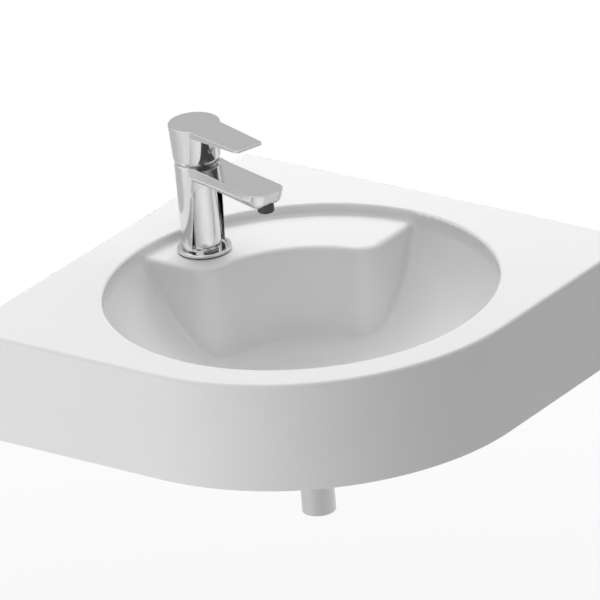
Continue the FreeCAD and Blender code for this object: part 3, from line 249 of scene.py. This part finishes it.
def finishes():
    """A material for each slot of the record."""
    return {
        "glaze": glaze(),
        "chrome": chrome(),
        "brass": brass(),
        "steel": steel(),
        "rubber": matt("black_rubber", (0.018, 0.018, 0.019), (0.034, 0.034, 0.035), 0.60, 1800.0, 0.35),
        "grey_plastic": matt("dark_plastic", (0.035, 0.036, 0.038), (0.055, 0.056, 0.059), 0.40, 1400.0),
        "white_plastic": matt("white_acetal", (0.74, 0.74, 0.72), (0.80, 0.80, 0.78), 0.46, 1400.0),
        "disc": matt("lapped_ceramic", (0.80, 0.78, 0.72), (0.86, 0.84, 0.79), 0.24, 2600.0),
    }


def dress_nodes():
    for entry in frame["record"]["subparts"]:
        materials = nodes[entry["node"]].data.materials
        materials.clear()
        materials.append(FINISHES[entry["material_slot"]])


# ---- Threaded studs ----------------------------------------------------------------------------------

def link(name, mesh):
    made = bpy.data.objects.new(name, mesh)
    scene.collection.objects.link(made)
    return made


def threaded_rod(axis_x, axis_y, low, high, first):
    """Points, numbered from first, and faces of an upright rod, threaded all along, with chamfered ends."""
    depth = THREAD_DEPTH * THREAD_PITCH
    step = THREAD_PITCH / RINGS_PER_TURN
    rings = int((high - low) / step)
    points, faces = [], []
    for ring in range(rings + 1):
        z = low + (high - low) * ring / rings
        crest = STUD_RADIUS - max(0.0, depth - min(z - low, high - z))
        for side in range(THREAD_SIDES):
            turn = side / THREAD_SIDES
            flank = abs(2.0 * ((ring / RINGS_PER_TURN - turn) % 1.0) - 1.0)
            out = min(crest, STUD_RADIUS - depth * flank)
            angle = 2.0 * math.pi * turn
            points.append((axis_x + out * math.cos(angle), axis_y + out * math.sin(angle), z))
    for ring in range(rings):
        base = first + ring * THREAD_SIDES
        above = base + THREAD_SIDES
        for side in range(THREAD_SIDES):
            after = (side + 1) % THREAD_SIDES
            faces.append((base + side, base + after, above + after, above + side))
    last = first + rings * THREAD_SIDES
    faces.append(tuple(first + side for side in reversed(range(THREAD_SIDES))))
    faces.append(tuple(last + side for side in range(THREAD_SIDES)))
    return points, faces


def threaded_studs():
    """Two studs at opposite corners of their node's box."""
    low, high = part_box("fixing_studs")
    middle = (low + high) / 2
    aside = Vector((middle.x - low.x - STUD_RADIUS, low.y + STUD_RADIUS - middle.y))
    points, faces = [], []
    for way in (1, -1):
        rod_points, rod_faces = threaded_rod(
            middle.x + way * aside.x, middle.y + way * aside.y, low.z, high.z, len(points))
        points += rod_points
        faces += rod_faces
    mesh = bpy.data.meshes.new("threaded_studs")
    mesh.from_pydata(points, [], faces)
    mesh.update()
    mesh.materials.append(FINISHES["steel"])
    made = link("threaded_studs", mesh)
    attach(made, "basin")
    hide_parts("fixing_studs")


# ---- Stage, light and camera -------------------------------------------------------------------------

def flat_panel(name, width, height):
    mesh = bpy.data.meshes.new(name)
    x, y = width / 2, height / 2
    mesh.from_pydata([(-x, -y, 0), (x, -y, 0), (x, y, 0), (-x, y, 0)], [], [(0, 1, 2, 3)])
    return link(name, mesh)


def floor():
    """A pale floor that keeps the shadow under the basin, and is plain white to the camera further out."""
    made = Shader("floor_paint", Base_Color=(FLOOR_GREY, FLOOR_GREY, FLOOR_GREY, 1.0), Roughness=0.9)
    scale = 1.0 / SHADOW_REACH
    near = made.node("ShaderNodeTexGradient", Vector=made.stretched((scale, scale, scale)))
    near.gradient_type = "SPHERICAL"
    path = made.node("ShaderNodeLightPath").outputs
    white = made.span(near.outputs["Fac"], 1.0, NEAREST_WHITE)
    both = made.node("ShaderNodeMixShader", Fac=made.math("MULTIPLY", white, path["Is Camera Ray"]))
    made.feed(both.inputs[1], made.surface.outputs[0])
    made.feed(both.inputs[2], made.glow(1.0))
    made.show(both.outputs[0])
    plane = flat_panel("floor", FLOOR_SPAN, FLOOR_SPAN)
    plane.location = (TARGET.x, TARGET.y, FLOOR_Z)
    plane.data.materials.append(made.material)


def world():
    """White to the camera and in reflections, and a soft even light everywhere else."""
    made = bpy.data.worlds.new("studio")
    scene.world = made
    made.use_nodes = True
    tree = made.node_tree
    path = tree.nodes.new("ShaderNodeLightPath").outputs
    seen = path["Is Camera Ray"]
    for ray in ("Is Glossy Ray", "Is Transmission Ray"):
        either = tree.nodes.new("ShaderNodeMath")
        either.operation = "MAXIMUM"
        tree.links.new(seen, either.inputs[0])
        tree.links.new(path[ray], either.inputs[1])
        seen = either.outputs[0]
    strength = tree.nodes.new("ShaderNodeMapRange")
    strength.inputs["To Min"].default_value = AMBIENT
    strength.inputs["To Max"].default_value = 1.0
    tree.links.new(seen, strength.inputs["Value"])
    background = tree.nodes["Background"]
    background.inputs["Color"].default_value = (1.0, 1.0, 1.0, 1.0)
    tree.links.new(strength.outputs["Result"], background.inputs["Strength"])


def stand(made, azimuth, elevation, distance, front):
    """Set a lamp or a card this far from the object, in that direction, with its front towards it."""
    heading = math.atan2(EYE.y - TARGET.y, EYE.x - TARGET.x) + math.radians(azimuth)
    rise = math.radians(elevation)
    level = math.cos(rise)
    way = Vector((math.cos(heading) * level, math.sin(heading) * level, math.sin(rise)))
    made.location = TARGET + distance * way
    made.rotation_euler = (TARGET - made.location).to_track_quat(front, "Y").to_euler()


def lamp(name, azimuth, elevation, size, power):
    data = bpy.data.lights.new(name, "AREA")
    data.shape = "RECTANGLE"
    data.size, data.size_y = size
    data.energy = power
    made = link(name, data)
    stand(made, azimuth, elevation, LAMP_DISTANCE, "-Z")
    made.visible_glossy = False


def card(name, azimuth, elevation, size, grey):
    """A studio card that only reflections show."""
    paper = Shader(name + "_paper")
    paper.show(paper.glow(grey))
    made = flat_panel(name, *size)
    stand(made, azimuth, elevation, CARD_DISTANCE, "Z")
    made.visible_camera = made.visible_diffuse = made.visible_shadow = False
    made.data.materials.append(paper.material)


def camera():
    back = (EYE - TARGET).normalized()
    right = Vector((0, 0, 1)).cross(back).normalized()
    up = back.cross(right)
    rolled_right = right * math.cos(ROLL) + up * math.sin(ROLL)
    rolled_up = up * math.cos(ROLL) - right * math.sin(ROLL)
    data = bpy.data.cameras.new("camera")
    data.lens = LENS
    data.sensor_width = SENSOR_WIDTH
    data.clip_end = CLIP_END
    made = link("camera", data)
    turn = Matrix((rolled_right, rolled_up, back)).transposed().to_4x4()
    made.matrix_world = Matrix.Translation(EYE) @ turn
    scene.camera = made


FINISHES = finishes()
dress_nodes()
threaded_studs()

camera()
floor()
world()
for row in CARDS:
    card(*row)
for row in LAMPS:
    lamp(*row)
scene.view_settings.view_transform = "Standard"
